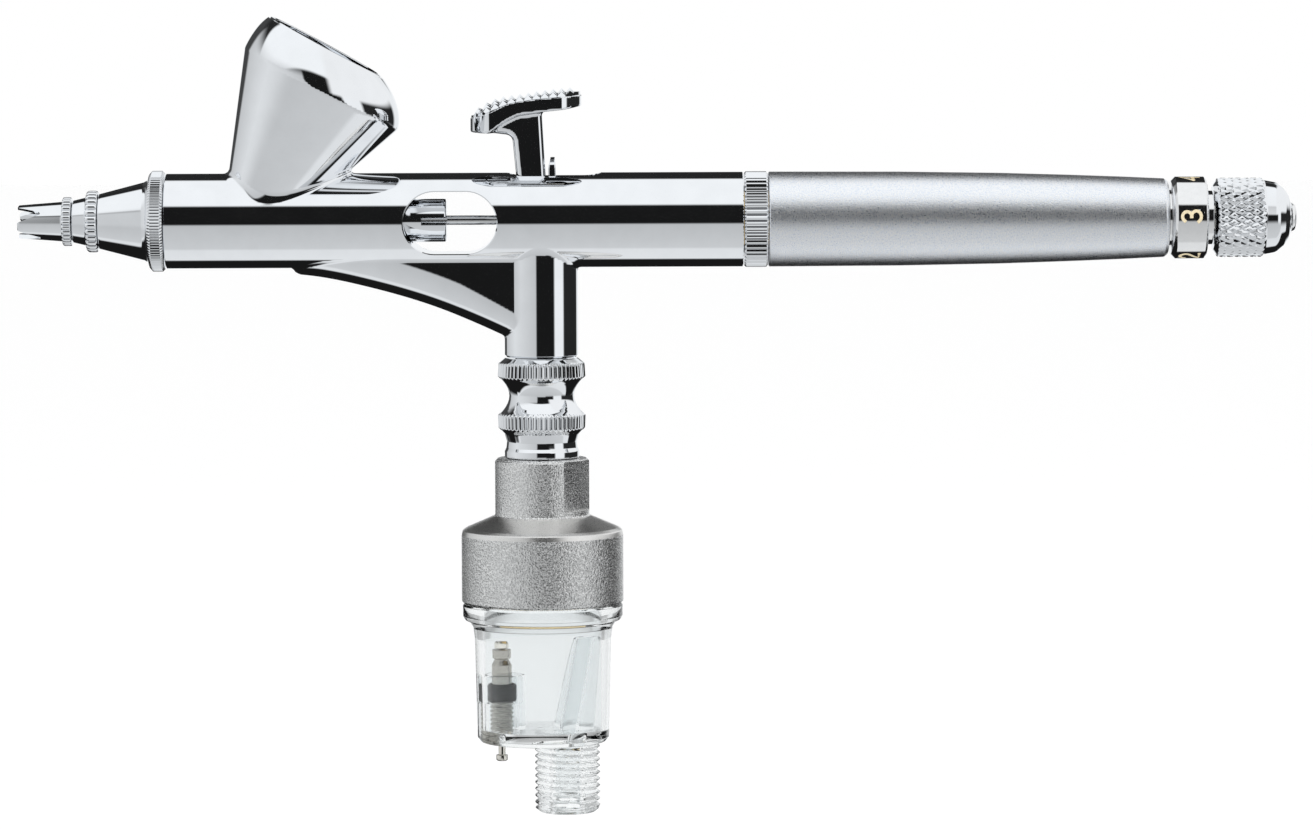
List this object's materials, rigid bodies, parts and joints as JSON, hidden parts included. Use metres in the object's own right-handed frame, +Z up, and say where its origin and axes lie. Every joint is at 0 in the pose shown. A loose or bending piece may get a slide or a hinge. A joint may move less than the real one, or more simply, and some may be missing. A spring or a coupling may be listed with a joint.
{
  "type": "airbrush gun",
  "caption": "Gravity-fed double-action airbrush with a leaning paint cup, a trigger, a preset knob on a satin handle and a clear moisture filter on the air inlet.",
  "frame": {"origin": "where the needle's axis crosses the vertical axis of the air valve, inside the barrel under the trigger", "axes": "+X back along the needle to the adjusting knob, +Z up to the paint cup and trigger, -Y the side seen with the head on the left"},
  "size_m": [0.1751, 0.0238, 0.1097],
  "materials": {
    "chrome": "polished chrome plate",
    "satin_handle": "fine satin anodised",
    "blasted_aluminium": "coarse bead-blasted",
    "nickel": "nickel plate, slightly warm",
    "steel": "ground stainless",
    "brass": "machined",
    "rubber": "matte moulded",
    "fluoropolymer": "waxy white",
    "felt": "pressed felt",
    "clear_plastic": "clear moulded, faint blue-green"
  },
  "bodies": {
    "airframe": {"barrel": "chrome", "paint_cup": "chrome", "finger_rest": "chrome", "crown_cap": "chrome", "nozzle_cap": "chrome", "head_housing": "chrome", "fluid_nozzle": "nickel", "nozzle_seal": "fluoropolymer", "needle_packing": "fluoropolymer", "packing_screw": "chrome", "spring_case": "brass", "tail_ring": "chrome", "handle": "satin_handle", "air_valve_body": "chrome", "valve_guide_screw": "brass", "filter_head": "blasted_aluminium", "filter_element": "felt", "element_retainer": "brass", "bowl_seal": "rubber", "filter_bowl": "clear_plastic", "drain_valve_core": "nickel", "drain_seal": "rubber", "drain_spring": "steel", "valve_spring": "steel", "needle_spring": "steel"},
    "air_valve": {"air_piston": "brass", "piston_seal": "rubber"},
    "trigger": {"main_lever": "chrome"},
    "push_lever": {"auxiliary_lever": "chrome"},
    "needle_carriage": {"needle": "steel", "needle_chuck": "nickel", "chuck_nut": "brass"},
    "preset_stop": {"stop_screw": "nickel"},
    "preset_knob": {"dial_ring": "chrome", "adjust_knob": "chrome", "end_button": "chrome"},
    "drain": {"drain_pin": "nickel"}
  },
  "joints": [
    {"name": "trigger_press", "type": "slide", "parent": "airframe", "child": "air_valve", "axis": [0, 0, -1], "range_m": [0, 0.0025], "stiffness_N_per_m": 500, "springref_m": -0.004, "deforming": ["valve_spring"]},
    {"name": "trigger_pull", "type": "hinge", "parent": "air_valve", "child": "trigger", "pos_m": [0, 0, -0.007], "axis": [0, 1, 0], "range_deg": [0, 18], "stiffness_Nm_per_rad": 0.03, "springref_deg": -34.38},
    {"name": "push_lever_swing", "type": "hinge", "parent": "airframe", "child": "push_lever", "pos_m": [0.0034, 0, -0.0054], "axis": [0, 1, 0], "range_deg": [0, 23]},
    {"name": "needle_travel", "type": "slide", "parent": "airframe", "child": "needle_carriage", "axis": [1, 0, 0], "range_m": [0, 0.003], "deforming": ["needle_spring"]},
    {"name": "preset_travel", "type": "slide", "parent": "airframe", "child": "preset_stop", "axis": [1, 0, 0], "range_m": [0, 0.0028]},
    {"name": "preset_turn", "type": "hinge", "parent": "preset_stop", "child": "preset_knob", "pos_m": [0.0923, 0, 0], "axis": [1, 0, 0], "range_deg": [0, 1440]},
    {"name": "drain_press", "type": "slide", "parent": "airframe", "child": "drain", "axis": [0, 0, 1], "range_m": [0, 0.0012], "stiffness_N_per_m": 400, "springref_m": -0.002, "deforming": ["drain_spring"]}
  ],
  "couplings": [
    {"joint": "push_lever_swing", "follows": "trigger_pull", "ratio": 1.26},
    {"joint": "needle_travel", "follows": "trigger_pull", "m_per_rad": 0.0095},
    {"joint": "preset_travel", "follows": "preset_turn", "m_per_rad": 0.00011141}
  ]
}
